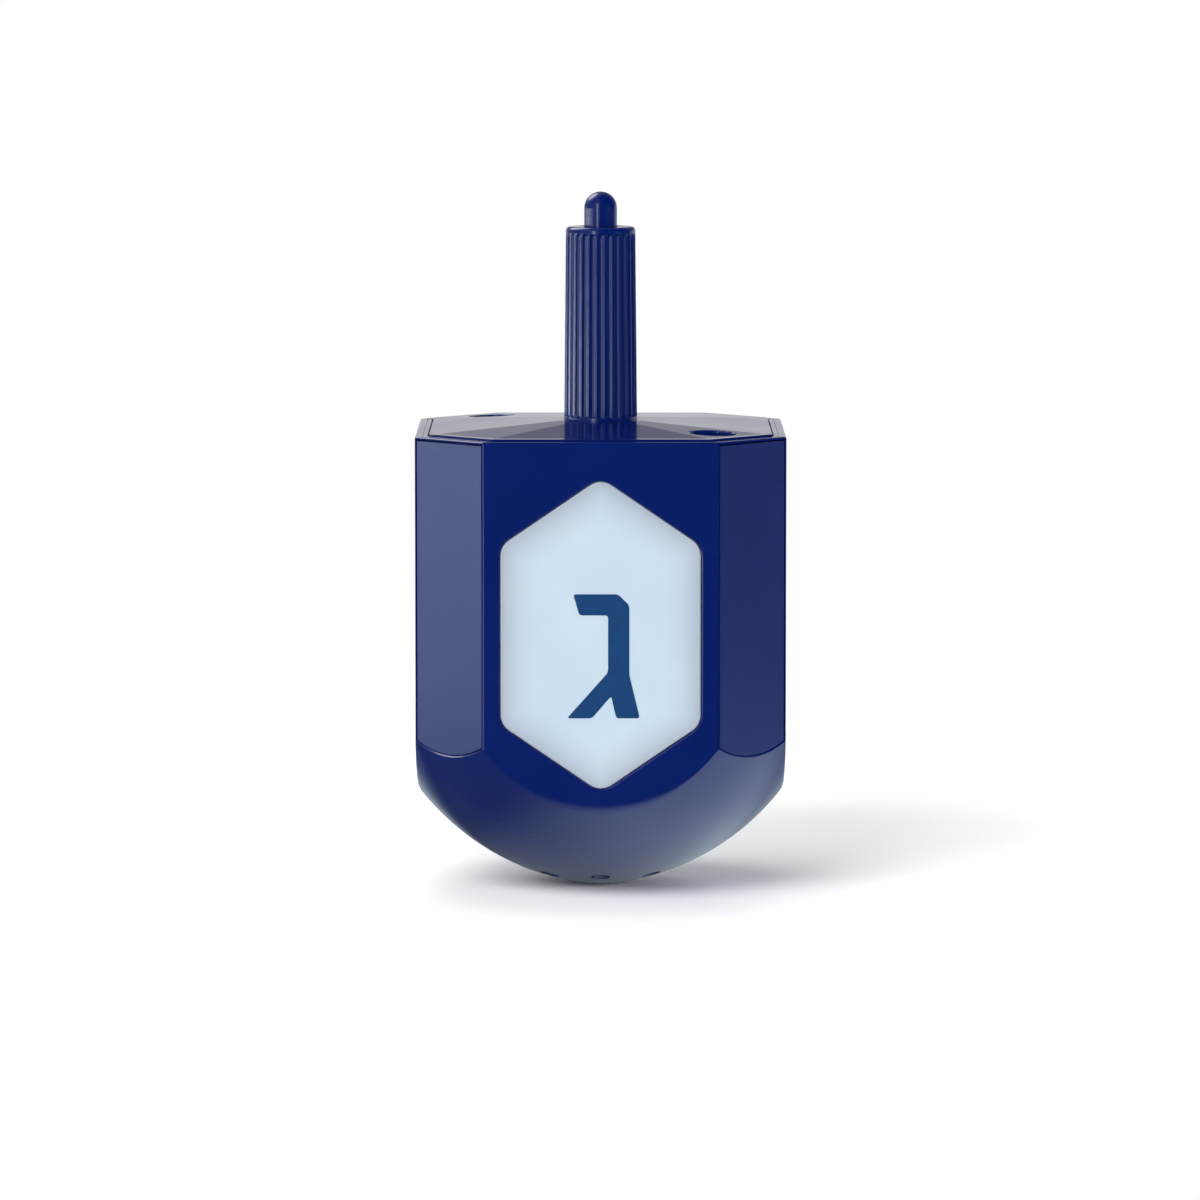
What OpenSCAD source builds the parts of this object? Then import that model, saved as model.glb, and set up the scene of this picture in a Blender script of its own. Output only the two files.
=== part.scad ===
// Electronic dreidel: an octagonal shell on a turned dome, with four letter windows lit from inside,
// a fluted grip with a push button on top, and a speaker behind the holes round the foot.
// The origin is the middle of the foot, +Z points up the spin axis and the front window faces -Y.

/* [Body] */
// Width across two opposite flat faces
body_w = 60; // [56:0.5:68]
// Width of each flat face
face_w = 37.8; // [36.8:0.1:40]
// Height of the rim above the foot
body_h = 75; // [72:0.5:90]
// Thickness of the face walls and of the dome
wall_t = 2.1; // [1.6:0.1:2.6]
// Thickness of the corners, panel included
corner_t = 2.4; // [2.2:0.1:3]
// Height at which the dome meets the eight upright edges
dome_edge_h = 25.6; // [24:0.1:27]
// How far the centre of the dome's arc lies beyond the axis
dome_offset = 3; // [2:0.1:6]
// Radius of the flat foot
foot_r = 2.8; // [2:0.1:5]

/* [Corner panels] */
// Thickness of a corner panel
panel_t = 1; // [0.8:0.1:1.2]
// How far a panel lies under the edge of the dome
panel_inset = 0.1; // [0:0.05:0.3]
// Strip of face wall that shows beside each panel
panel_edge = 0.35; // [0.2:0.05:0.8]
// Strip of the rim above each panel
rim_strip = 0.6; // [0.4:0.1:1.5]
// Diameter of the pegs behind a panel
peg_d = 2; // [1.6:0.1:2.6]

/* [Windows] */
// Face wall left on each side of a window
window_margin = 2.75; // [2.4:0.05:5]
// Face wall between the dome's edge and a window's lower tip
window_low = 2.5; // [1.8:0.1:6]
// Face wall between the rim and a window's upper tip
window_high = 5.6; // [5:0.1:10]
// Height of each pointed end of a window
window_point = 11; // [8:0.1:14]
// Rounding of a window's corners
window_corner_r = 3.2; // [2:0.1:5]
// How far a window lies under the face
window_recess = 0.2; // [0.1:0.1:0.8]
// Thickness of the flange behind a window
flange_t = 1.2; // [0.8:0.1:1.6]

/* [Sound holes] */
// Number of sound holes
sound_holes = 8; // [6:1:10]
// Diameter of a sound hole
sound_hole_d = 3.1; // [2:0.1:3.4]
// Land between the sound holes and the speaker's seat
seat_land = 0.5; // [0.3:0.1:1]

/* [Lid] */
// Depth of the lid below the rim
lid_t = 2; // [1.6:0.1:2.6]
// Width of the flat margin round the raised facets
lid_margin = 1.8; // [1.2:0.1:5]
// Height of the flat margin above the rim
lid_proud = 0.2; // [0:0.05:0.4]
// Rise from the rim to the top of the facets, at the grip
lid_rise = 1.45; // [1:0.05:2.5]
// Diameter of the two screw wells
well_d = 7.4; // [6.6:0.1:8]
// Depth of the screw wells below the rim
well_depth = 9.5; // [7:0.5:12]
// Distance of the screw wells' middles from the cavity's corner walls
well_inset = 6.6; // [6.4:0.1:8]

/* [Grip] */
// Diameter of the grip where it leaves the lid
grip_base_d = 12; // [11:0.1:13]
// Diameter of the grip at its top
grip_top_d = 11.4; // [10.6:0.1:11.8]
// Height of the grip above the lid
grip_h = 31.5; // [26:0.5:36]
// Number of flutes round the grip
flutes = 28; // [20:1:30]
// Radius of the flutes' round bottom
flute_r = 0.6; // [0.4:0.05:0.65]
// Depth of the flutes
flute_depth = 0.35; // [0.2:0.05:0.4]
// Rounding of the grip's top edge
grip_round = 0.7; // [0.4:0.1:1]

/* [Button] */
// Diameter of the button
button_d = 5.4; // [4:0.1:5.6]
// How far the button stands out of the grip
button_out = 5.7; // [4.5:0.1:7]
// How far the button travels
button_travel = 2.5; // [1:0.1:2.8]
// Length of the button's guide in the grip
button_guide = 16; // [10:0.5:18]
// Diameter of the rod below the button
rod_d = 3.2; // [2.6:0.1:3.4]
// Diameter of the return spring's wire
spring_wire_d = 0.6; // [0.4:0.05:0.7]
// Number of turns of the return spring
spring_turns = 9; // [6:1:12]

/* [Switch] */
// Outer diameter of the tube that holds the switch
switch_tube_d = 19.2; // [18.4:0.2:20]
// Wall of the switch tube
switch_tube_t = 1.5; // [1.2:0.1:1.8]
// Width of the square switch
switch_w = 8; // [7:0.1:8.6]
// Height of the switch above its board
switch_h = 5.4; // [5:0.1:6]

/* [Battery and lights] */
// Diameter of a button cell
cell_d = 11.6; // [10.5:0.1:12]
// Height of a button cell
cell_h = 5.4; // [4:0.1:5.6]
// Height of the spring under the cells
lower_contact_h = 3.3; // [2.6:0.1:4]
// Height of the contact above the cells
upper_contact_h = 2; // [1.4:0.1:2.4]
// Wall of the battery tube
tube_t = 1.5; // [1.2:0.1:2]
// Thickness of the fins between the light chambers
fin_t = 1.4; // [1:0.1:2]
// Diameter of a light
led_d = 5; // [4:0.1:5]
// Height of the lights above the foot
led_z = 31; // [28:0.5:33]

/* [Board and speaker] */
// Room between the speaker and the main board
speaker_room = 2.5; // [2.2:0.1:4]
// Thickness of the circuit boards
board_t = 1.6; // [1:0.1:2]
// Gap between the speaker's clamp and the posts that carry the board
post_gap = 0.5; // [0.3:0.1:1]
// Diameter of the speaker
speaker_d = 31.2; // [27:0.1:34]
// Height of the speaker's seat above the dome's inner wall
seat_h = 1.2; // [1:0.1:2]

/* [Fasteners] */
// Diameter of the lid screws' shanks
lid_screw_d = 2.5; // [2:0.1:2.8]
// Diameter of the small screws' shanks
small_screw_d = 1.7; // [1.4:0.1:2]

/* [Fits] */
// Gap round the lid
lid_gap = 0.2; // [0.1:0.05:0.4]
// Gap at the seams of the panels and windows
seam_gap = 0.1; // [0.05:0.05:0.2]
// Radial clearance of a piece that is pressed or screwed in
fit_gap = 0.05; // [0.03:0.01:0.1]
// Radial clearance of a piece that slides
slide_gap = 0.06; // [0.04:0.01:0.1]
// Gap between a window's flange and the corner walls
flange_gap = 0.25; // [0.1:0.05:0.4]
// Play between the button's collar and its stop
stop_gap = 0.1; // [0.05:0.05:0.2]

/* [Hidden] */
$fn = 96;

// Colours of the pieces
shell_blue = "#12206b";
window_white = "#e4eef6";
liner_white = "#f2f2ee";
board_green = "#1f5f3a";
steel = "#b9bcc2";
dark = "#2b2b2f";
lead_red = "#b3262a";

// Turns of the four faces and the four corners about the axis, and of the two corners with screws
front = 0;
right = 90;
back = 180;
left = 270;
front_right = 45;
back_right = 135;
back_left = 225;
front_left = 315;
sides = [front, right, back, left];
corners = [front_right, back_right, back_left, front_left];
screw_corners = [front_right, back_left];
rest_corners = [back_right, front_left];

// Octagon of the body and of its cavity: distances of the face planes and the corner planes
face_d = body_w / 2;
corner_d = (face_d + face_w / 2) / sqrt(2);
corner_half = (face_d - face_w / 2) / sqrt(2);
inner_face_d = face_d - wall_t;
inner_corner_d = corner_d - corner_t;
cut = 1;

// Arc of the dome, from the edge of the foot to the lower ends of the upright edges
edge_r = norm([face_d, face_w / 2]);
dome_zc = ((edge_r + dome_offset) ^ 2 - (foot_r + dome_offset) ^ 2 + dome_edge_h ^ 2) / (2 * dome_edge_h);
dome_r = sqrt((foot_r + dome_offset) ^ 2 + dome_zc ^ 2);
function dome_z(r, depth = 0) = dome_zc - sqrt((dome_r - depth) ^ 2 - (r + dome_offset) ^ 2);
dome_h = dome_z(face_d);

// Lower edge of a corner panel: the arc in which the dome cuts the corner plane
panel_low = dome_z(corner_d);
panel_sag = dome_edge_h - panel_low;
panel_arc_r = (corner_half ^ 2 + panel_sag ^ 2) / (2 * panel_sag);
panel_half = corner_half - panel_edge;
panel_out = corner_d - panel_inset;
panel_in = panel_out - panel_t;
panel_top = body_h - rim_strip;
peg_margin = 3.3;
peg_u = panel_half - peg_margin;
peg_end = 12;
peg_zs = [panel_low + peg_end, panel_top - peg_end];
peg_tip = 0.8;

// Windows, with a flange that reaches nearly to the corner walls
window_w = face_w - 2 * window_margin;
window_h = body_h - window_high - dome_h - window_low;
window_z = dome_h + window_low + window_h / 2;
window_side = window_h - 2 * window_point;
inner_half = sqrt(2) * inner_corner_d - inner_face_d;
flange_w = inner_half - flange_gap - window_w / 2;
corner_steps = 12;

// Lid, with the grip's flange and the switch tube hung under it
lid_face_d = inner_face_d - lid_gap;
lid_corner_d = inner_corner_d - lid_gap;
lid_low = body_h - lid_t;
lid_edge_z = body_h + lid_proud;
lid_top = body_h + lid_rise;
crown_land = 0.6;
crown_face_d = grip_base_d / 2 + crown_land;
crown_scale = crown_face_d / (lid_face_d - lid_margin);
well_r = inner_corner_d - well_inset;
well_wall = 1.2;
well_floor_t = 1.5;
well_z = body_h - well_depth;
boss_top = well_z - well_floor_t;
boss_r = 3.2;
boss_web_t = 2;
boss_depth = 9;

// Screws: head radius, head height, length below the head, and half length and depth of the cross
lid_screw = [2.9, 1.9, 8, 1.7, 1.1];
cross_w = 0.7;
hole_extra = 0.3;
pilot_skin = 0.3;
small_head_r = 1.9;

// Grip and button
flange_disc_t = 1.5;
flange_screw_r = switch_tube_d / 2 + small_head_r + hole_extra;
flange_disc_r = flange_screw_r + small_head_r + hole_extra;
grip_top = lid_top + grip_h;
grip_ring = 0.45;
flute_top_gap = 1;
button_top = grip_top + button_out;
button_stop = grip_top - button_guide;
collar_t = 1.5;
grip_wall = 0.9;
spring_bore_r = grip_top_d / 2 - flute_depth - grip_wall;
collar_gap = 0.4;
collar_r = spring_bore_r - collar_gap;
collar_top = button_stop - stop_gap;
flange_z = lid_low - flange_disc_t;
plate_t = 1.5;
plate_z = flange_z - plate_t;
mount_screw = [small_head_r, 1.4, body_h - 2 * pilot_skin - plate_z, 1.1, 0.8];
spring_r = (rod_d / 2 + spring_bore_r) / 2;
spring_low = flange_z + spring_wire_d / 2;
spring_high = collar_top - collar_t - spring_wire_d / 2;
rod_short = 0.9;
rod_end = plate_z + rod_short;

// Switch, its board and the pegs that hold the board
press_gap = 0.4;
switch_board_top = rod_end - button_travel - press_gap - switch_h;
switch_board_z = switch_board_top - board_t;
switch_floor_t = 0.3;
plunger_d = 3;
plunger_gap = 0.2;
plunger_low = switch_board_top + switch_floor_t + button_travel + plunger_gap;
stake_d = 1;
stake_r = switch_tube_d / 2 - switch_tube_t / 2;
stake_tip = 0.4;
stake_turns = [45, 135, 225, 315];

// Battery stack, built down from the switch board
cells_top = switch_board_z - upper_contact_h;
cells_low = cells_top - 3 * cell_h;
tube_floor_z = cells_low - lower_contact_h;
tube_floor_t = 1.5;
cell_gap = 0.2;
cell_cap_step = 1.2;
cell_cap_h = 0.75;
tube_in_r = cell_d / 2 + cell_gap;
tube_out_r = tube_in_r + tube_t;
tube_lip = 0.3;
tube_top = cells_top + tube_lip;
contact_t = 0.3;
contact_r = 3.5;
contact_tip_r = 1.75;
contact_wire_d = 0.5;
contact_turns = 2;
contact_root = 0.15;

// Speaker on its seat in the dome, and its clamp
seat_w = 1.85;
seat_in_r = speaker_d / 2 - seat_w;
sound_ring_r = seat_in_r - seat_land - sound_hole_d / 2;
seat_rim = 0.4;
seat_out_r = speaker_d / 2 + seat_rim;
speaker_z = dome_z(seat_out_r, wall_t) + seat_h;
speaker_flange_w = 2.6;
speaker_flange_t = 1.2;
basket_r = speaker_d / 2 - speaker_flange_w;
basket_w = 5;
basket_t = 0.8;
basket_wall = 0.6;
basket_h = 5;
pole_r = basket_r - basket_w;
magnet_step = 1.5;
magnet_r = pole_r - magnet_step;
magnet_h = 3.5;
cone_edge = 0.7;
cone_r = basket_r - cone_edge;
cone_t = 0.4;
cone_top_r = 3.6;
cone_h = 2.4;
cone_dip = 1;
clamp_gap = 0.5;
clamp_rim = 1;
clamp_in_r = basket_r + clamp_gap;
clamp_out_r = speaker_d / 2 + clamp_rim;
clamp_z = speaker_z + speaker_flange_t;
ear_out = 2;
ear_t = 1.5;
ear_gap = 0.8;
clamp_screw_r = clamp_out_r + ear_out;
clamp_post_r = 2.1;
ear_z = dome_z(clamp_screw_r + clamp_post_r, wall_t) + ear_gap;
clamp_top = ear_z + ear_t;
clamp_skin = 0.8;
clamp_pilot_z = dome_z(clamp_screw_r + small_screw_d) + clamp_skin;
clamp_screw = [small_head_r, 1.4, clamp_top - clamp_pilot_z - pilot_skin, 1.1, 0.8];
clamp_turn = 22.5;
clamp_turns = [back_right - clamp_turn, front_left - clamp_turn];

// Main board, the core that stands on it, and their screws
board_z = speaker_z + basket_h + magnet_h + speaker_room;
board_top = board_z + board_t;
base_t = 1.5;
base_top = board_top + base_t;
board_gap = 0.4;
board_face_d = inner_face_d - flange_t - board_gap;
column_gap = 0.4;
board_corner_d = well_r - boss_r - column_gap;
fin_reach = board_corner_d;
fin_root = tube_in_r + tube_t / 2;
fin_drop = 1;
post_r = 2.4;
post_depth = 6;
board_screw_r = clamp_out_r + post_gap + post_r;
core_screw = [small_head_r, 1.4, base_t + board_t + post_depth - pilot_skin, 1.1, 0.8];

// Lights: flange, body length and leads, which stand on the board in front of the battery tube
led_flange_w = 0.4;
led_flange_r = led_d / 2 + led_flange_w;
led_flange_t = 1;
led_len = 7.6;
lead_w = 0.5;
lead_pitch = 2.54;
lead_back = 1;
led_gap = 0.5;
led_lead_r = tube_out_r + led_gap;
led_seat = led_lead_r + lead_back + led_flange_t;

// Small parts on the main board
chip_r = 4;
chip_top_r = 2.8;
chip_edge_h = 0.6;
chip_h = 1.2;
chip_at = [9, -9];
capacitor_d = 4;
capacitor_len = 6;
capacitor_at = [-12, 6.5];

// Routes of the leads: points along their middles, from the upper end to the lower end
lead_d = 1.2;
lead_sides = 8;
lead_gap = 0.45;
lead_play = 0.05;
lead_turn = 30;
switch_lead_r = tube_out_r + lead_d / 2 + lead_gap;
switch_route = [[0, 0, 0], [0, 0, 0.1], [0.4, 0, 0.3], [0.9, 0, 0.55],
    [0.6, 0, 0.8], [0, 0, 0.94], [0, 0, 1]];
magnet_gap = 0.15;
speaker_lead_x = magnet_r + lead_d / 2 + magnet_gap;
speaker_route = [[1, 0, 0], [1, 0, 0.25], [0.5, 0, 0.5], [0, 0, 0.75], [0, 0, 1]];

module octagon(faces, corner_planes) {
    intersection() {
        square(2 * faces, center = true);
        rotate(45) square(2 * corner_planes, center = true);
    }
}

// A plate that faces -Y, between two distances from the axis, with its outline drawn in X and Z
module slab(near, far) {
    translate([0, -near, 0]) rotate([90, 0, 0]) linear_extrude(far - near) children();
}

module rod(r, low, high) {
    translate([0, 0, low]) cylinder(r = r, h = high - low);
}

module ring(outer_r, inner_r, low, high) {
    difference() {
        rod(outer_r, low, high);
        rod(inner_r, low - cut, high + cut);
    }
}

// The child turned to each of a list of angles about the axis
module around(turns) {
    for (turn = turns) rotate(turn) children();
}

function unit(v) = v / norm(v);
function edge_normal(p, q) = let (d = unit(q - p)) [d.y, -d.x];

// Outline through points that run anticlockwise, with its corners rounded, then grown outwards
module rounded_outline(points, r, grow = 0) {
    count = len(points);
    polygon([for (i = [0 : count - 1])
        let (before = edge_normal(points[(i + count - 1) % count], points[i]),
            after = edge_normal(points[i], points[(i + 1) % count]),
            centre = points[i] - r * (before + after) / (1 + before * after),
            start = atan2(before.y, before.x),
            turn = acos(before * after))
        for (k = [0 : corner_steps])
        let (a = start + turn * k / corner_steps) centre + (r + grow) * [cos(a), sin(a)]]);
}

module window_outline(grow = 0) {
    w = window_w / 2;
    h = window_h / 2;
    s = window_side / 2;
    translate([0, window_z])
        rounded_outline([[w, s], [0, h], [-w, s], [-w, -s], [0, -h], [w, -s]], window_corner_r, grow);
}

// Space above the dome's arc, moved inwards by depth and filled up to a height
module dome_fill(depth, low, high) {
    r = dome_r - depth;
    rotate_extrude() {
        intersection() {
            translate([-dome_offset, dome_zc]) circle(r, $fn = 240);
            translate([0, low]) square([r, dome_zc - low]);
        }
        translate([0, dome_zc]) square([r - dome_offset, high - dome_zc]);
    }
}

module body_envelope() {
    intersection() {
        linear_extrude(body_h) octagon(face_d, corner_d);
        dome_fill(0, 0, body_h);
    }
}

module body_cavity() {
    intersection() {
        translate([0, 0, wall_t]) linear_extrude(body_h) octagon(inner_face_d, inner_corner_d);
        dome_fill(wall_t, wall_t, body_h + cut);
    }
}

// Outline of a corner panel in the corner plane; grow opens it for the recess that the panel lies in
module panel_outline(grow = 0) {
    half = panel_half + grow;
    low = panel_low - grow;
    top = panel_top + grow;
    r = panel_arc_r + grow;
    intersection() {
        translate([-half, low]) square([2 * half, top - low]);
        union() {
            translate([0, low + r]) circle(r, $fn = 240);
            translate([-half, low + r]) square([2 * half, top - low]);
        }
    }
}

// Places of a panel's two pegs in the corner plane
module at_pegs() {
    translate([-peg_u, peg_zs[0]]) children();
    translate([peg_u, peg_zs[1]]) children();
}

// Column in a corner, joined to the corner wall by a web
module corner_column(top) {
    translate([0, -well_r, 0]) rod(boss_r, 0, top);
    translate([-boss_web_t / 2, -corner_d + corner_t / 2, 0])
        cube([boss_web_t, corner_d - corner_t / 2 - well_r, top]);
}

module body_posts() {
    around(screw_corners) corner_column(boss_top);
    around(rest_corners) corner_column(lid_low);
    around(sides) translate([0, -board_screw_r, 0]) rod(post_r, 0, board_z);
    around(clamp_turns) translate([0, -clamp_screw_r, 0]) rod(clamp_post_r, 0, ear_z);
    ring(seat_out_r, seat_in_r, 0, speaker_z);
}

module body_shell() color(shell_blue) {
    difference() {
        union() {
            difference() {
                body_envelope();
                body_cavity();
            }
            intersection() {
                body_envelope();
                body_posts();
            }
        }
        around(sides) slab(inner_face_d - cut, face_d + cut) window_outline();
        around(corners) {
            slab(panel_in - fit_gap, corner_d + cut) panel_outline(seam_gap);
            slab(inner_corner_d - cut, corner_d) at_pegs() circle(d = peg_d + 2 * fit_gap);
        }
        for (i = [0 : sound_holes - 1]) rotate(i * 360 / sound_holes)
            translate([0, -sound_ring_r, 0]) rod(sound_hole_d / 2, -cut, speaker_z);
        around(screw_corners) translate([0, -well_r, 0])
            rod(lid_screw_d / 2 + fit_gap, boss_top - boss_depth, boss_top + cut);
        around(sides) translate([0, -board_screw_r, 0])
            rod(small_screw_d / 2 + fit_gap, board_z - post_depth, board_z + cut);
        around(clamp_turns) translate([0, -clamp_screw_r, 0])
            rod(small_screw_d / 2 + fit_gap, clamp_pilot_z, ear_z + cut);
    }
}

module corner_panel(turn) color(shell_blue) rotate(turn) {
    slab(panel_in, panel_out) panel_outline(0);
    slab(inner_corner_d - peg_tip, panel_in) at_pegs() circle(d = peg_d);
}

module window_pane(turn) color(window_white) rotate(turn) {
    slab(inner_face_d, face_d - window_recess) window_outline(-seam_gap);
    slab(inner_face_d - flange_t, inner_face_d) window_outline(flange_w);
}

module lid() color(shell_blue) {
    difference() {
        union() {
            translate([0, 0, lid_low]) linear_extrude(lid_edge_z - lid_low) octagon(lid_face_d, lid_corner_d);
            translate([0, 0, lid_edge_z]) linear_extrude(lid_top - lid_edge_z, scale = crown_scale)
                octagon(lid_face_d - lid_margin, lid_corner_d - lid_margin);
            around(screw_corners) translate([0, -well_r, 0]) rod(well_d / 2 + well_wall, boss_top, body_h);
        }
        around(screw_corners) translate([0, -well_r, 0]) {
            rod(well_d / 2, well_z, lid_top + cut);
            rod(lid_screw_d / 2 + hole_extra, boss_top - cut, lid_top);
        }
        rod(grip_base_d / 2 + fit_gap, lid_low - cut, lid_top + cut);
        around([right, left]) translate([0, -flange_screw_r, 0])
            rod(small_screw_d / 2 + fit_gap, lid_low - cut, body_h - pilot_skin);
    }
}

// A screw with its head's underside at zero, its shank pointing down and a cross in its head
module screw(size, shank_d) {
    difference() {
        union() {
            rod(size[0], 0, size[1]);
            rod(shank_d / 2, -size[2], 0);
        }
        for (turn = [0, 90]) rotate(turn)
            translate([-size[3], -cross_w / 2, size[1] - size[4]]) cube([2 * size[3], cross_w, size[1]]);
    }
}

module lid_screws() color(steel)
    around(screw_corners) translate([0, -well_r, well_z]) screw(lid_screw, lid_screw_d);

// One flute, along the slope of the grip, with a round end under the top edge
module flute() {
    low = lid_top + grip_ring;
    high = grip_top - flute_top_gap - flute_r;
    base_r = grip_base_d / 2 + flute_r - flute_depth;
    top_r = grip_top_d / 2 + flute_r - flute_depth;
    lean = atan((base_r - top_r) / (high - low));
    translate([base_r, 0, low]) rotate([0, -lean, 0]) {
        rod(flute_r, 0, (high - low) / cos(lean));
        translate([0, 0, (high - low) / cos(lean)]) sphere(flute_r);
    }
}

module grip_body() {
    base_r = grip_base_d / 2;
    top_r = grip_top_d / 2;
    rotate_extrude() {
        polygon([[0, lid_low], [base_r, lid_low], [base_r, lid_top], [top_r, grip_top - grip_round],
            [top_r - grip_round, grip_top], [0, grip_top]]);
        translate([top_r - grip_round, grip_top - grip_round]) circle(grip_round);
    }
    rod(flange_disc_r, flange_z, lid_low);
}

module grip_stem() color(shell_blue) {
    difference() {
        grip_body();
        for (i = [0 : flutes - 1]) rotate(i * 360 / flutes) flute();
        rod(button_d / 2 + slide_gap, lid_low, grip_top + cut);
        rod(spring_bore_r, flange_z - cut, button_stop);
        around([right, left]) translate([0, -flange_screw_r, 0])
            rod(small_screw_d / 2 + hole_extra, flange_z - cut, lid_low + cut);
    }
}

module push_button() color(shell_blue) {
    r = button_d / 2;
    rod(rod_d / 2, rod_end, collar_top);
    rod(collar_r, collar_top - collar_t, collar_top);
    rod(r, collar_top, button_top - r);
    translate([0, 0, button_top - r]) sphere(r);
}

// A round tube along a path; aim is a direction that the path never takes
module tube(path, r, count, aim) {
    last = len(path) - 1;
    tangents = [for (i = [0 : last]) unit(path[min(i + 1, last)] - path[max(i - 1, 0)])];
    points = [for (i = [0 : last])
        let (u = unit(cross(aim, tangents[i])), v = cross(tangents[i], u))
        for (k = [0 : count - 1])
        let (a = 360 * k / count) path[i] + r * (cos(a) * u + sin(a) * v)];
    walls = [for (i = [0 : last - 1], k = [0 : count - 1])
        let (a = i * count + k, b = i * count + (k + 1) % count)
        each [[a, a + count, b], [b, a + count, b + count]]];
    ends = [for (k = [1 : count - 2])
        each [[0, k, k + 1], [last * count, last * count + k + 1, last * count + k]]];
    polyhedron(points, concat(walls, ends));
}

// A coil about the axis, from a low to a high middle of its wire
module coil(r, wire_d, turns, low, high, steps = 8) {
    count = turns * steps;
    tube([for (i = [0 : count])
        [r * cos(360 * i / steps), r * sin(360 * i / steps), low + (high - low) * i / count]],
        wire_d / 2, 6, [0, 0, 1]);
}

module button_spring() color(steel) coil(spring_r, spring_wire_d, spring_turns, spring_low, spring_high);

module switch_housing() color(dark) {
    difference() {
        rod(flange_disc_r, plate_z, flange_z);
        rod(rod_d / 2 + slide_gap, plate_z - cut, flange_z + cut);
        around([right, left]) translate([0, -flange_screw_r, 0])
            rod(small_screw_d / 2 + hole_extra, plate_z - cut, flange_z + cut);
    }
    ring(switch_tube_d / 2, switch_tube_d / 2 - switch_tube_t, switch_board_top, plate_z);
    around(stake_turns) translate([0, -stake_r, 0])
        rod(stake_d / 2, switch_board_z - stake_tip, switch_board_top);
}

module switch_housing_screws() color(steel)
    around([right, left]) translate([0, -flange_screw_r, plate_z]) rotate([180, 0, 0])
        screw(mount_screw, small_screw_d);

module switch_board() color(board_green) {
    difference() {
        rod(switch_tube_d / 2, switch_board_z, switch_board_top);
        around(stake_turns) translate([0, -stake_r, 0])
            rod(stake_d / 2 + fit_gap, switch_board_z - cut, switch_board_top + cut);
    }
}

module switch_body() color(dark) {
    difference() {
        translate([-switch_w / 2, -switch_w / 2, switch_board_top]) cube([switch_w, switch_w, switch_h]);
        rod(plunger_d / 2 + slide_gap, switch_board_top + switch_floor_t, plate_z);
    }
}

module switch_plunger() color(liner_white) rod(plunger_d / 2, plunger_low, rod_end);

module battery_upper_contact() color(steel) {
    rod(contact_r, switch_board_z - contact_t, switch_board_z);
    rod(contact_tip_r, cells_top, switch_board_z - contact_t);
}

// A button cell: a can with the smaller cap of its other pole on top
module button_cell(index) color(steel) {
    low = cells_low + index * cell_h;
    rod(cell_d / 2, low, low + cell_h - cell_cap_h);
    rod(cell_d / 2 - cell_cap_step, low, low + cell_h);
}

module battery_lower_contact() color(steel) {
    rod(tube_in_r - fit_gap, tube_floor_z, tube_floor_z + contact_t);
    low = tube_floor_z + contact_t + contact_wire_d / 2 - contact_root;
    high = cells_low - contact_wire_d / 2;
    coil(contact_r, contact_wire_d, contact_turns, low, high);
}

module reflector_core() color(liner_white) {
    difference() {
        union() {
            translate([0, 0, board_top]) linear_extrude(base_t) octagon(board_face_d, board_corner_d);
            rod(tube_out_r, board_top, tube_top);
            around(corners) translate([-fin_t / 2, -fin_reach, board_top])
                cube([fin_t, fin_reach - fin_root, tube_top - fin_drop - board_top]);
        }
        rod(tube_in_r, tube_floor_z, tube_top + cut);
        rod(tube_in_r, board_top - cut, tube_floor_z - tube_floor_t);
        around(sides) {
            slab(led_lead_r - hole_extra, led_lead_r + lead_w + hole_extra)
                translate([-lead_pitch / 2 - lead_w / 2 - hole_extra, board_top - cut])
                    square([lead_pitch + lead_w + 2 * hole_extra, base_t + 2 * cut]);
            translate([0, -board_screw_r, 0])
                rod(small_screw_d / 2 + hole_extra, board_top - cut, base_top + cut);
        }
        at_switch_leads() rod(lead_d / 2 + hole_extra, board_top - cut, base_top + cut);
    }
}

module core_screws() color(steel)
    around(sides) translate([0, -board_screw_r, base_top]) screw(core_screw, small_screw_d);

module led(turn) color(window_white) rotate(turn) {
    slab(led_seat - led_flange_t, led_seat) translate([0, led_z]) circle(led_flange_r);
    slab(led_seat, led_seat + led_len - led_d / 2) translate([0, led_z]) circle(d = led_d);
    translate([0, -led_seat - led_len + led_d / 2, led_z]) sphere(d = led_d);
    for (side = [-1, 1]) translate([side * lead_pitch / 2 - lead_w / 2, -led_seat + led_flange_t, 0]) {
        translate([0, 0, led_z - lead_w / 2]) cube([lead_w, lead_back, lead_w]);
        translate([0, lead_back - lead_w, board_top]) cube([lead_w, lead_w, led_z + lead_w / 2 - board_top]);
    }
}

module main_board() color(board_green) {
    difference() {
        translate([0, 0, board_z]) linear_extrude(board_t) octagon(board_face_d, board_corner_d);
        around(sides) translate([0, -board_screw_r, 0])
            rod(small_screw_d / 2 + hole_extra, board_z - cut, board_top + cut);
    }
}

module sound_chip() color(dark)
    translate([chip_at.x, chip_at.y, 0]) {
        rod(chip_r, board_z - chip_edge_h, board_z);
        rod(chip_top_r, board_z - chip_h, board_z);
    }

module capacitor() color(dark)
    translate([capacitor_at.x - capacitor_len / 2, capacitor_at.y, board_z - capacitor_d / 2])
        rotate([0, 90, 0]) cylinder(d = capacitor_d, h = capacitor_len);

module speaker_frame() color(steel) {
    low = speaker_z;
    neck = low + basket_h;
    rotate_extrude() polygon([[speaker_d / 2, low], [speaker_d / 2, clamp_z], [basket_r, clamp_z],
        [pole_r, neck], [0, neck], [0, neck - basket_t], [pole_r - basket_t, neck - basket_t],
        [basket_r - basket_wall, clamp_z - basket_t], [basket_r - basket_wall, low]]);
}

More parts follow.
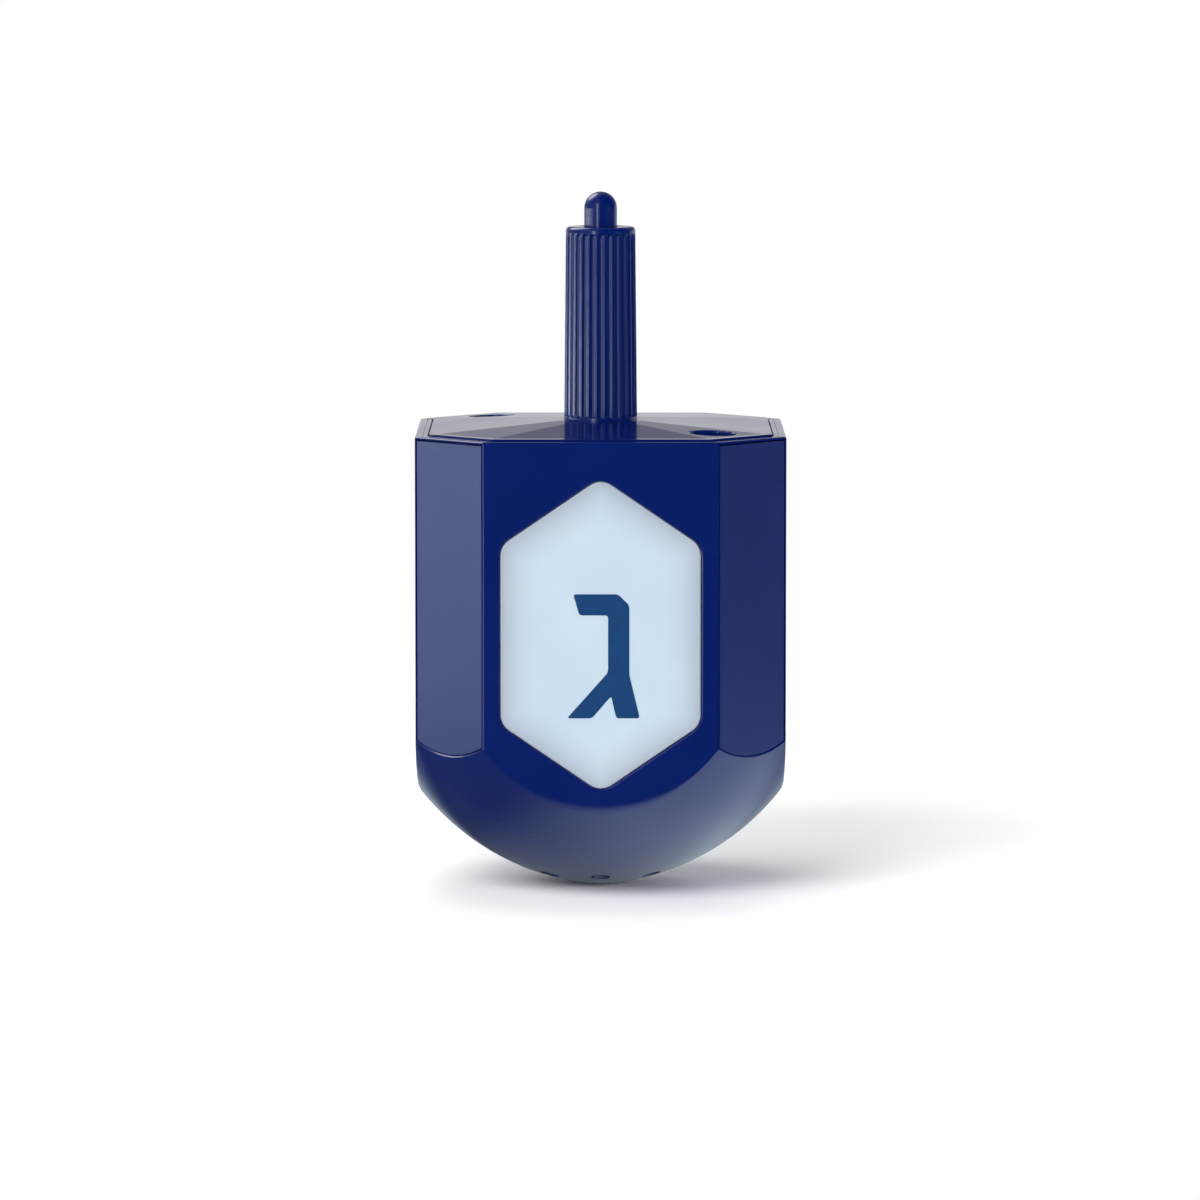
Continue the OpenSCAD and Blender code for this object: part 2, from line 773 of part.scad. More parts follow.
module speaker_cone() color(dark) {
    low = speaker_z;
    high = low + cone_h;
    rotate_extrude() polygon([[cone_r, low], [cone_r, low + cone_t], [cone_top_r, high + cone_t],
        [0, high + cone_t - cone_dip], [0, high - cone_dip], [cone_top_r, high], [cone_r - cone_dip, low]]);
}

module speaker_magnet() color(dark)
    rod(magnet_r, speaker_z + basket_h, speaker_z + basket_h + magnet_h);

module speaker_clamp() color(liner_white) {
    difference() {
        union() {
            rod(clamp_out_r, clamp_z, clamp_top);
            around(clamp_turns) translate([0, -clamp_screw_r, 0]) rod(clamp_post_r, ear_z, clamp_top);
        }
        rod(clamp_in_r, clamp_z - cut, clamp_top + cut);
        around(clamp_turns) translate([0, -clamp_screw_r, 0]) {
            rod(small_screw_d / 2 + hole_extra, clamp_z - cut, clamp_top + cut);
            rod(clamp_post_r + fit_gap, clamp_z - cut, ear_z);
        }
    }
}

module clamp_screws() color(steel)
    around(clamp_turns) translate([0, -clamp_screw_r, clamp_top]) screw(clamp_screw, small_screw_d);

// Places where the two leads from the lid pass the core
module at_switch_leads() {
    for (side = [-1, 1]) rotate(side * lead_turn) translate([switch_lead_r, 0, 0]) children();
}

// A point on a smooth curve through four points
function bend(p, q, r, s, t) = 0.5 * ((2 * q) + (r - p) * t + (2 * p - 5 * q + 4 * r - s) * t ^ 2
    + (3 * q - p - 3 * r + s) * t ^ 3);
function smooth(points, steps) = let (last = len(points) - 1) [
    for (i = [0 : last - 1], k = [0 : steps - 1])
        bend(points[max(i - 1, 0)], points[i], points[i + 1], points[min(i + 2, last)], k / steps),
    points[last]];

// A lead from a high to a low end; its route is written in millimetres across and shares of its height
module lead(route, at, high, low) {
    drop = high - low - 2 * lead_play;
    tube(smooth([for (p = route) [at + p.x, p.y, high - lead_play - drop * p.z]], 4),
        lead_d / 2, lead_sides, [0, 1, 0]);
}

module switch_lead(side) rotate(side * lead_turn)
    lead(switch_route, switch_lead_r, switch_board_z, board_top);

module speaker_lead(turn) rotate(turn) lead(speaker_route, speaker_lead_x, board_z, speaker_z + basket_h);

body_shell();
corner_panel(front_right);  // corner_panel_front_right
corner_panel(back_right);  // corner_panel_back_right
corner_panel(back_left);  // corner_panel_back_left
corner_panel(front_left);  // corner_panel_front_left
window_pane(front);  // window_front
window_pane(right);  // window_right
window_pane(back);  // window_back
window_pane(left);  // window_left
lid();
lid_screws();
grip_stem();
push_button();
button_spring();
switch_housing();
switch_housing_screws();
switch_board();
switch_body();
switch_plunger();
battery_upper_contact();
button_cell(2);  // battery_cell_top
button_cell(1);  // battery_cell_middle
button_cell(0);  // battery_cell_bottom
battery_lower_contact();
reflector_core();
core_screws();
led(front);  // led_front
led(right);  // led_right
led(back);  // led_back
led(left);  // led_left
main_board();
sound_chip();
capacitor();
speaker_frame();
speaker_cone();
speaker_magnet();
speaker_clamp();
clamp_screws();
color(lead_red) switch_lead(1);  // switch_lead_red
color(dark) switch_lead(-1);  // switch_lead_black
color(lead_red) speaker_lead(0);  // speaker_lead_red
color(dark) speaker_lead(180);  // speaker_lead_black
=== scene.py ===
import math

import bmesh
import bpy
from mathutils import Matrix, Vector


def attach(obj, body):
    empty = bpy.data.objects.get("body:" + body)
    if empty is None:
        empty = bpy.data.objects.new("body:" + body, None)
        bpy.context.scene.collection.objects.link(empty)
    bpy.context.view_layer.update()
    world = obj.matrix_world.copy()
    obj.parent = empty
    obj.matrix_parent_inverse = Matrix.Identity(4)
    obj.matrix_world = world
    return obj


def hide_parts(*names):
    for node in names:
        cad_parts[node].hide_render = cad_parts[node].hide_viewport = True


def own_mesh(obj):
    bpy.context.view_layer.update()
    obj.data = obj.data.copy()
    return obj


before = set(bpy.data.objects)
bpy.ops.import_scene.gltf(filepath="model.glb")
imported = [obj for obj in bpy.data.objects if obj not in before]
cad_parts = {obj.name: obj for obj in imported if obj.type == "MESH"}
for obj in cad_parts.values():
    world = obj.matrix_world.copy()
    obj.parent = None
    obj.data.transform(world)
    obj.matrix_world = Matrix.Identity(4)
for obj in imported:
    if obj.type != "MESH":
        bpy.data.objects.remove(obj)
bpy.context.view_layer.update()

# All sizes are in millimetres, as in the part's source, and become metres when a mesh is made
MM = 0.001

# Body: an octagon with four wide faces and four narrow corner faces, on a dome
FACE_D = 30.0
FACE_HALF = 18.9
CORNER_D = (FACE_D + FACE_HALF) / math.sqrt(2)
CORNER_HALF = (FACE_D - FACE_HALF) / math.sqrt(2)
RIM_Z = 75.0
WALL = 2.1
CORNER_WALL = 2.4
INNER_FACE_D = FACE_D - WALL
INNER_CORNER_D = CORNER_D - CORNER_WALL
UPRIGHT_ROUND = 0.6
RIM_ROUND = 0.35
RIM_GROOVE_AT = 1.25
RIM_GROOVE = 0.12

# Dome: an arc with its centre past the axis, turned round the axis, and a fillet to the faces that fades out
# towards the upright edges
DOME_OFFSET = 3.0
DOME_EDGE_H = 25.6
FOOT_R = 2.8
EDGE_R = math.hypot(FACE_D, FACE_HALF)
DOME_ZC = ((EDGE_R + DOME_OFFSET) ** 2 - (FOOT_R + DOME_OFFSET) ** 2 + DOME_EDGE_H ** 2) / (2 * DOME_EDGE_H)
DOME_R = math.hypot(FOOT_R + DOME_OFFSET, DOME_ZC)
FILLET_SMALL = 0.35
FILLET_LARGE = 3.4
FILLET_RUN = 9.0
SOUND_HOLE_R = 1.55
SOUND_HOLE_AT = 11.7
SOUND_HOLES = 8


def dome_z(r):
    return DOME_ZC - math.sqrt(DOME_R ** 2 - (r + DOME_OFFSET) ** 2)


# Corner panels, whose lower edge follows the arc in which the dome cuts the corner plane
PANEL_HALF = CORNER_HALF - 0.35
PANEL_OUT = CORNER_D - 0.1
PANEL_IN = PANEL_OUT - 1.0
PANEL_TOP = RIM_Z - 0.6
PANEL_LIFT = 0.4
PANEL_SEAM = 0.16
PANEL_CHAMFER = 0.26
PANEL_LOW = dome_z(CORNER_D)
PANEL_SAG = DOME_EDGE_H - PANEL_LOW
PANEL_ARC_R = (CORNER_HALF ** 2 + PANEL_SAG ** 2) / (2 * PANEL_SAG)

# Windows
WINDOW_HALF = FACE_HALF - 2.75
WINDOW_LOW = dome_z(FACE_D) + 2.5
WINDOW_HIGH = RIM_Z - 5.6
WINDOW_POINT = 11.0
WINDOW_ROUND = 3.2
WINDOW_FRONT = FACE_D - 0.2
WINDOW_SEAM = 0.06
WINDOW_MOUTH = 0.3
WINDOW_MOUTH_OUT = 0.25
WINDOW_CUT_FROM = 26.0
FLANGE_BACK = INNER_FACE_D - 1.2
FLANGE_GROW = 1.2

# Inset and depth along the rounded edges of a panel, a window, the lid and the grip's bore
PANEL_EDGE = ((0.1, 0.0), (0.05, 0.015), (0.015, 0.05), (0.0, 0.1))
WINDOW_EDGE = ((0.22, 0.0), (0.11, 0.03), (0.03, 0.11), (0.0, 0.22))
LID_EDGE = ((0.0, 0.08), (0.024, 0.024), (0.08, 0.0))
BORE_EDGE = ((0.25, 0.0), (0.07, 0.07), (0.0, 0.25))

# Lid
LID_FACE_D = INNER_FACE_D - 0.2
LID_CORNER_D = INNER_CORNER_D - 0.2
LID_LOW = RIM_Z - 2.0
LID_TOP = RIM_Z + 1.45
LID_MARGIN = 1.5
LID_EDGE_Z = RIM_Z + 0.3
LID_PLAN_ROUND = 0.25
CROWN_GAP = 0.6
LID_BORE_GAP = 0.05
WELL_AT = INNER_CORNER_D - 6.6
WELL_R = 3.7
WELL_FLOOR = 65.5
WELL_ROUND = 0.3
BOSS_R = 4.9
BOSS_TOP = 64.0
SCREW_HOLE_R = 1.55

# Grip: its foot is a wide flange under the lid
GRIP_BASE_R = 6.0
GRIP_TOP_R = 5.7
GRIP_TOP = LID_TOP + 31.5
GRIP_ROUND = 0.7
GRIP_FLANGE_R = 14
BORE_R = 2.76
SPRING_BORE_R = 4.45
FLUTES = 28
FLUTE_DEPTH = 0.35
FLUTE_END = GRIP_TOP - 1.6
FLUTE_RUN_OUT = 0.62
HALF_PITCH = 0.66
# Half a ridge from its crest: the distance across and the depth
RIDGE = ((0, 0), (0.06, 0.012), (0.11, 0.05), (0.16, 0.12),
         (0.22, 0.19), (0.3, 0.25), (0.42, 0.31), (0.55, 0.34))
# Where the flutes start, the height above the lid and the share of their depth; where they end, the share of
# their run-out
FLUTE_START = ((0.45, 0.0), (0.6, 0.8), (0.8, 1.0))
FLUTE_ENDING = (0.25, 0.45, 0.62, 0.76, 0.87, 0.95, 1.0)

# Button and return spring
BUTTON_R = 2.7
BUTTON_TOP = GRIP_TOP + 5.7
BUTTON_STOP = GRIP_TOP - 16.0
COLLAR_LOW = BUTTON_STOP - 1.6
COLLAR_TOP = COLLAR_LOW + 1.5
COLLAR_R = SPRING_BORE_R - 0.4
COLLAR_EDGE = 0.15
ROD_R = 1.6
ROD_END = 70.9
ROD_EDGE = 0.2
SPRING_FOOT = LID_LOW - 1.5
SPRING_TURNS = 9
WIRE_R = 0.3

SIDES = {"front": 0, "right": 90, "back": 180, "left": 270}
CORNERS = {"front_right": 45, "back_right": 135, "back_left": 225, "front_left": 315}


def soft_step(t):
    t = min(max(t, 0.0), 1.0)
    return t * t * (3 - 2 * t)


# Modelling

def open_new(name):
    """Names the primitive that was just added and opens it in edit mode"""
    piece = bpy.context.object
    piece.name = piece.data.name = name
    bpy.ops.object.mode_set(mode="EDIT")
    return piece


def select_only(piece):
    bpy.ops.object.select_all(action="DESELECT")
    piece.select_set(True)
    bpy.context.view_layer.objects.active = piece


def select_points(piece, indices):
    bpy.ops.mesh.select_all(action="DESELECT")
    shape = bmesh.from_edit_mesh(piece.data)
    shape.verts.ensure_lookup_table()
    for i in indices:
        shape.verts[i].select = True
    shape.select_flush(True)
    bmesh.update_edit_mesh(piece.data)


def close_mesh(piece):
    """Merges doubles, turns the faces outwards and leaves edit mode"""
    bpy.ops.mesh.select_all(action="SELECT")
    bpy.ops.mesh.remove_doubles(threshold=0.002 * MM)
    bpy.ops.mesh.normals_make_consistent(inside=False)
    bpy.ops.object.mode_set(mode="OBJECT")
    return piece


def skin(name, rings, closed=False):
    """A circle shaped to the first ring of points and extruded from ring to ring, with flat or joined ends"""
    bpy.ops.object.select_all(action="DESELECT")
    bpy.ops.mesh.primitive_circle_add(vertices=len(rings[0]), radius=MM, fill_type="NOTHING")
    piece = open_new(name)
    shape = bmesh.from_edit_mesh(piece.data)
    shape.verts.ensure_lookup_table()
    place = {}
    for k, point in enumerate(rings[0]):
        shape.verts[k].co = Vector(point) * MM
        place[k] = k
    first = dict(place)
    for ring in rings[1:]:
        bpy.ops.mesh.extrude_region_move()
        shape = bmesh.from_edit_mesh(piece.data)
        shape.verts.index_update()
        moved = {}
        for vert in shape.verts:
            if vert.select:
                for edge in vert.link_edges:
                    other = edge.other_vert(vert)
                    if not other.select:
                        moved[vert.index] = place[other.index]
                        vert.co = Vector(ring[moved[vert.index]]) * MM
        place = moved
    bmesh.update_edit_mesh(piece.data)
    if closed:
        select_points(piece, list(first) + list(place))
        bpy.ops.mesh.bridge_edge_loops()
    else:
        select_points(piece, place)
        bpy.ops.mesh.edge_face_add()
        select_points(piece, first)
        bpy.ops.mesh.edge_face_add()
    return close_mesh(piece)


def turned(name, profile, count, forward=0.0):
    """A skin of round rings: the profile gives radius and height from one end to the other"""
    rings = []
    for r, z in profile:
        angles = [math.tau * k / count for k in range(count)]
        rings.append([(r * math.cos(a), -forward + r * math.sin(a), z) for a in angles])
    return skin(name, rings)


def copy_turned(piece, name, angle):
    select_only(piece)
    bpy.ops.object.duplicate(linked=False)
    other = bpy.context.object
    other.name = other.data.name = name
    other.rotation_euler.z = math.radians(angle)
    bpy.ops.object.transform_apply(location=True, rotation=True, scale=True)
    return other


def join(pieces):
    bpy.ops.object.select_all(action="DESELECT")
    for piece in pieces:
        piece.select_set(True)
    bpy.context.view_layer.objects.active = pieces[0]
    bpy.ops.object.join()
    return pieces[0]


def apply_modifier(piece, kind, **settings):
    select_only(piece)
    modifier = piece.modifiers.new(kind.lower(), kind)
    for key, value in settings.items():
        setattr(modifier, key, value)
    bpy.ops.object.modifier_apply(modifier=modifier.name)


def cut_away(piece, cutters):
    cutter = join(cutters)
    apply_modifier(piece, "BOOLEAN", operation="DIFFERENCE", solver="EXACT", object=cutter)
    bpy.data.objects.remove(cutter)
    bpy.ops.object.mode_set(mode="EDIT")
    return close_mesh(piece)


def smooth(piece, angle=35):
    """Smooth shading up to an angle, with the large faces keeping their own normals"""
    select_only(piece)
    bpy.ops.object.shade_smooth_by_angle(angle=math.radians(angle))
    apply_modifier(piece, "WEIGHTED_NORMAL", mode="FACE_AREA", weight=80, keep_sharp=True)
    return piece


def put(piece, material, nodes=(), body="housing"):
    """Gives a piece its material, the body that it rides on and the nodes that it replaces"""
    piece.data.materials.clear()
    piece.data.materials.append(material)
    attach(piece, body)
    if nodes:
        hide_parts(*nodes)
    return piece


# Outlines

def octagon(face_d, corner_d, edge_round, face_steps=28, corner_steps=10, arc_steps=4):
    """Points of an octagon with rounded upright edges, from the front face round by the right, and for each
    point how far along its face it lies from the nearest edge (nothing at the corners)"""
    half_turn = math.pi / 8
    turn = [math.radians(-90 + 45 * k) for k in range(8)]
    normal = [Vector((math.cos(a), math.sin(a))) for a in turn]
    far = [face_d, corner_d] * 4
    points, along = [], []
    edges = []
    for k in range(8):
        n = (k + 1) % 8
        c = math.cos(math.pi / 4)
        edges.append((normal[k] * (far[k] - far[n] * c) + normal[n] * (far[n] - far[k] * c)) / (1 - c * c))
    for k in range(8):
        side = Vector((-normal[k].y, normal[k].x))
        start = edges[k - 1] + side * edge_round * math.tan(half_turn)
        end = edges[k] - side * edge_round * math.tan(half_turn)
        steps = corner_steps if k % 2 else face_steps
        for i in range(steps + 1):
            points.append(start.lerp(end, i / steps))
            gone = (end - start).length * min(i, steps - i) / steps
            along.append(0.0 if k % 2 else gone)
        middle = edges[k] - (normal[k] + normal[(k + 1) % 8]) * edge_round / (1 + math.cos(math.pi / 4))
        for i in range(1, arc_steps):
            a = turn[k] + math.pi / 4 * i / arc_steps
            points.append(middle + edge_round * Vector((math.cos(a), math.sin(a))))
            along.append(0.0)
    return points, along


def rounded_hexagon(grow, steps=10):
    """Outline of a window, seen from the front"""
    w, low, high, point, round_r = WINDOW_HALF, WINDOW_LOW, WINDOW_HIGH, WINDOW_POINT, WINDOW_ROUND
    ends = [(w, high - point), (0, high), (-w, high - point), (-w, low + point), (0, low), (w, low + point)]
    points = []
    for i, (x, z) in enumerate(ends):
        here = Vector((x, z))
        before = (here - Vector(ends[i - 1])).normalized()
        after = (Vector(ends[(i + 1) % 6]) - here).normalized()
        n1, n2 = Vector((before.y, -before.x)), Vector((after.y, -after.x))
        centre = here - (n1 + n2) * round_r / (1 + n1.dot(n2))
        first, sweep = math.atan2(n1.y, n1.x), math.acos(n1.dot(n2))
        for k in range(steps + 1):
            a = first + sweep * k / steps
            points.append(centre + (round_r + grow) * Vector((math.cos(a), math.sin(a))))
    return points


def panel_outline(grow, drop, steps=24):
    """Outline of a corner panel: grow moves the straight edges outwards, and drop moves the lower arc down"""
    half, top = PANEL_HALF + grow, PANEL_TOP + grow
    low, r = PANEL_LOW + PANEL_LIFT - drop, PANEL_ARC_R + drop
    points = []
    for k in range(steps + 1):
        u = -half + 2 * half * k / steps
        points.append(Vector((u, low + r - math.sqrt(r * r - u * u))))
    return points + [Vector((half, top)), Vector((-half, top))]


def level(points, z):
    """A plan at a height"""
    return [(p.x, p.y, z) for p in points]


def upright(points, y):
    """A front view at a depth"""
    return [(p.x, y, p.y) for p in points]


# Shell: the dome and the octagon in one moulding

def shell_fillets(outline, along):
    """For each point of the outline: the fillet's radius, its centre outwards and up, and where it starts"""
    fillets = []
    for p, run in zip(outline, along):
        r = FILLET_SMALL + (FILLET_LARGE - FILLET_SMALL) * soft_step(run / FILLET_RUN)
        centre_r = p.length - r
        z = DOME_ZC - math.sqrt((DOME_R - r) ** 2 - (centre_r + DOME_OFFSET) ** 2)
        fillets.append((r, centre_r, z, math.atan2(centre_r + DOME_OFFSET, DOME_ZC - z)))
    return fillets


def dome_rings(outline, fillets, steps=26):
    """Evenly spread points at the foot, which turn to those of the outline on the way up"""
    start = math.asin((FOOT_R + DOME_OFFSET) / DOME_R)
    first = math.atan2(outline[0].y, outline[0].x)
    rings = []
    for j in range(steps + 1):
        ring = []
        for i, (p, (_, _, _, end)) in enumerate(zip(outline, fillets)):
            even = first + math.tau * i / len(outline)
            off = (math.atan2(p.y, p.x) - even + math.pi) % math.tau - math.pi
            turn = even + off * soft_step(j / steps)
            t = start + (end - start) * j / steps
            r = DOME_R * math.sin(t) - DOME_OFFSET
            ring.append((r * math.cos(turn), r * math.sin(turn), DOME_ZC - DOME_R * math.cos(t)))
        rings.append(ring)
    return rings


def fillet_rings(outline, fillets, steps=7):
    rings = []
    for j in range(1, steps + 1):
        ring = []
        for p, (r, centre_r, centre_z, start) in zip(outline, fillets):
            t = start + (math.pi / 2 - start) * j / steps
            far = centre_r + r * math.sin(t)
            ring.append((p.x * far / p.length, p.y * far / p.length, centre_z - r * math.cos(t)))
        rings.append(ring)
    return rings


def rim_rings():
    """Over the rim from the outside to the inside, with a fine groove on top"""
    rings = []
    for a in (0, 30, 60, 90):
        a = math.radians(a)
        inset = RIM_ROUND * (1 - math.cos(a))
        points, _ = octagon(FACE_D - inset, CORNER_D - inset, UPRIGHT_ROUND)
        rings.append(level(points, RIM_Z - RIM_ROUND + RIM_ROUND * math.sin(a)))
    for off, z in ((-RIM_GROOVE, RIM_Z), (0.0, RIM_Z - RIM_GROOVE), (RIM_GROOVE, RIM_Z)):
        inset = RIM_GROOVE_AT + off
        points, _ = octagon(FACE_D - inset, CORNER_D - inset * 1.1, UPRIGHT_ROUND)
        rings.append(level(points, z))
    for a in (90, 60, 30, 0):
        a = math.radians(a)
        out = RIM_ROUND * (1 - math.cos(a))
        points, _ = octagon(INNER_FACE_D + out, INNER_CORNER_D + out, UPRIGHT_ROUND)
        rings.append(level(points, RIM_Z - RIM_ROUND + RIM_ROUND * math.sin(a)))
    return rings


def inner_rings(steps=16):
    """Down the inside to the floor over the foot"""
    inner, _ = octagon(INNER_FACE_D, INNER_CORNER_D, UPRIGHT_ROUND)
    inner_r = DOME_R - WALL
    start = math.acos((DOME_ZC - WALL) / inner_r)
    ends = [math.asin((p.length + DOME_OFFSET) / inner_r) for p in inner]
    rings = []
    for j in range(steps, -1, -1):
        ring = []
        for p, end in zip(inner, ends):
            t = start + (end - start) * j / steps
            r = inner_r * math.sin(t) - DOME_OFFSET
            ring.append((p.x * r / p.length, p.y * r / p.length, DOME_ZC - inner_r * math.cos(t)))
        rings.append(ring)
    return rings


def window_cuts():
    """Openings of the windows, with a rounded mouth"""
    rings = [upright(rounded_hexagon(0), -WINDOW_CUT_FROM)]
    for a in (0, 30, 60, 80):
        a = math.radians(a)
        rings.append(upright(rounded_hexagon(WINDOW_MOUTH - WINDOW_MOUTH * math.cos(a)),
                             -FACE_D + WINDOW_MOUTH - WINDOW_MOUTH * math.sin(a)))
    rings.append(upright(rounded_hexagon(WINDOW_MOUTH_OUT), -FACE_D - 1))
    front = skin("window_cut", rings)
    others = ("right", "back", "left")
    return [front] + [copy_turned(front, "window_cut_" + side, SIDES[side]) for side in others]


def recess_cuts():
    """Recesses of the corner panels, with a chamfer along the lower arc that catches the light"""
    gap, out = 0.02, 0.1
    depths = ((0, gap, PANEL_IN - 0.05), (0, gap, CORNER_D - PANEL_CHAMFER),
              (out, gap + PANEL_CHAMFER, CORNER_D), (out, 1 + gap + PANEL_CHAMFER, CORNER_D + 1))
    rings = [upright(panel_outline(PANEL_SEAM + grow, drop), -y) for grow, drop, y in depths]
    recess = skin("recess_cut", rings)
    cuts = [copy_turned(recess, "recess_cut_" + corner, turn) for corner, turn in CORNERS.items()]
    bpy.data.objects.remove(recess)
    return cuts


def sound_hole_cuts():
    hole = turned("sound_cut", [(SOUND_HOLE_R, -1), (SOUND_HOLE_R, 8)], 40, SOUND_HOLE_AT)
    turns = [(i, 360 / SOUND_HOLES * i) for i in range(1, SOUND_HOLES)]
    return [copy_turned(hole, "sound_cut_%d" % i, turn) for i, turn in turns] + [hole]


def make_shell():
    outline, along = octagon(FACE_D, CORNER_D, UPRIGHT_ROUND)
    fillets = shell_fillets(outline, along)
    rings = dome_rings(outline, fillets) + fillet_rings(outline, fillets) + rim_rings() + inner_rings()
    shell = skin("body_shell_moulding", rings)
    cut_away(shell, window_cuts() + recess_cuts() + sound_hole_cuts())
    return smooth(shell)


def make_panel():
    rings = [upright(panel_outline(-inset, -inset), -PANEL_OUT + deep) for inset, deep in PANEL_EDGE]
    return smooth(skin("corner_panel_plate", rings + [upright(panel_outline(0, 0), -PANEL_IN)]))


def make_window():
    """A pane with a flange behind the wall"""
    rings = [upright(rounded_hexagon(-WINDOW_SEAM - inset), -WINDOW_FRONT + deep)
             for inset, deep in WINDOW_EDGE]
    rings += [upright(rounded_hexagon(-WINDOW_SEAM), -INNER_FACE_D),
              upright(rounded_hexagon(FLANGE_GROW), -INNER_FACE_D),
              upright(rounded_hexagon(FLANGE_GROW), -FLANGE_BACK)]
    return smooth(skin("letter_window", rings))


# Letters: plain block strokes of even weight, drawn 20 mm high about their middle

LETTERS = {
    "front": [[(-4.4, 10), (-3.4, 6.6), (1.2, 6.6), (1.2, -2.6), (-5.4, -10), (-1.4, -10), (1.7, -6.4),
               (2.5, -10), (6.3, -10), (4.6, -3), (4.6, 8.2), (2.8, 10)]],
    "right": [[(-3.6, 10), (-2.6, 6.6), (0.6, 6.6), (0.6, -6.6), (-5, -6.6), (-5, -10), (4.2, -10),
               (4.2, 8.2), (2.4, 10)]],
    "left": [[(-6.4, 10), (-5.4, 6.6), (2.6, 6.6), (2.6, -10), (6, -10), (6, 8.2), (4.2, 10)],
             [(-5.8, 3.4), (-5.8, -10), (-2.4, -10), (-2.4, 3.4)]],
    "back": [[(-7.8, 10), (-5.8, -10), (5.8, -10), (7.8, -8), (7.8, 10), (4.4, 10), (4.4, -6.6),
              (1.5, -6.6), (1.7, 10), (-1.7, 10), (-1.3, -6.6), (-2.7, -6.6), (-4.3, 10)]],
}
LETTER_Z = 40.6
LETTER_ROUND = 0.5
INK_T = 0.03


def soften(corners, steps=4):
    """A closed outline with its corners rounded"""
    points = []
    for i, corner in enumerate(corners):
        here = Vector(corner)
        before = (Vector(corners[i - 1]) - here).normalized()
        after = (Vector(corners[(i + 1) % len(corners)]) - here).normalized()
        for k in range(steps + 1):
            t = k / steps
            points.append(here + before * LETTER_ROUND * (1 - t) ** 2 + after * LETTER_ROUND * t ** 2)
    return points


def make_letter(side):
    strokes = []
    for i, corners in enumerate(LETTERS[side]):
        points = [p + Vector((0, LETTER_Z)) for p in soften(corners)]
        strokes.append(skin("stroke_%d" % i, [upright(points, -WINDOW_FRONT + INK_T),
                                              upright(points, -WINDOW_FRONT - INK_T)]))
    letter = join(strokes)
    letter.name = letter.data.name = "letter_" + side
    letter.rotation_euler.z = math.radians(SIDES[side])
    bpy.ops.object.transform_apply(location=True, rotation=True, scale=True)
    return letter


# Lid: a flat margin and eight shallow facets up to the grip, with two screw wells on one diagonal

def lid_plan(inset, scale=1.0):
    points, _ = octagon(LID_FACE_D - inset, LID_CORNER_D - inset, LID_PLAN_ROUND, 1, 1, 3)
    return [p * scale for p in points]


def make_lid():
    crown_scale = (GRIP_BASE_R + CROWN_GAP) / (LID_FACE_D - LID_MARGIN)
    rings = [level(lid_plan(0), LID_LOW)]
    rings += [level(lid_plan(inset), LID_EDGE_Z - deep) for inset, deep in LID_EDGE]
    rings += [level(lid_plan(LID_MARGIN), LID_EDGE_Z), level(lid_plan(LID_MARGIN, crown_scale), LID_TOP)]
    lid = skin("lid_plate", rings)
    tube = turned("well_tube", [(BOSS_R, BOSS_TOP), (BOSS_R, RIM_Z - 1)], 64, WELL_AT)
    tubes = [copy_turned(tube, "well_tube_back", 225), copy_turned(tube, "well_tube_front", 45)]
    bpy.data.objects.remove(tube)
    apply_modifier(lid, "BOOLEAN", operation="UNION", solver="EXACT", object=join(tubes))
    bpy.data.objects.remove(tubes[0])
    bore_r = GRIP_BASE_R + LID_BORE_GAP
    bore = turned("bore_cut", [(bore_r, LID_LOW - 1), (bore_r, LID_TOP + 1)], 96)
    well = turned("well_cut", [(SCREW_HOLE_R, BOSS_TOP - 1), (SCREW_HOLE_R, WELL_FLOOR), (WELL_R, WELL_FLOOR),
                               (WELL_R, LID_TOP + 1)], 64, WELL_AT)
    cuts = [bore, copy_turned(well, "well_cut_front", 45), copy_turned(well, "well_cut_back", 225)]
    bpy.data.objects.remove(well)
    cut_away(lid, cuts)
    return lid


def soften_wells(lid):
    """Rounds the mouths of the two wells"""
    select_only(lid)
    bpy.ops.object.mode_set(mode="EDIT")
    bpy.ops.mesh.select_all(action="DESELECT")
    bpy.ops.mesh.select_mode(type="EDGE")
    shape = bmesh.from_edit_mesh(lid.data)
    at = WELL_AT / math.sqrt(2) * MM
    for edge in shape.edges:
        edge.select = all(
            v.co.z > (RIM_Z - 0.5) * MM
            and min(math.hypot(v.co.x - s * at, v.co.y + s * at) for s in (1, -1)) < (WELL_R + 0.01) * MM
            for v in edge.verts)
    bmesh.update_edit_mesh(lid.data)
    bpy.ops.mesh.bevel(offset=WELL_ROUND * MM, segments=3, affect="EDGES")
    bpy.ops.mesh.select_mode(type="VERT")
    return close_mesh(lid)


# Grip: round-bottomed flutes between narrow round ridges, which run out under a smooth ring at the top

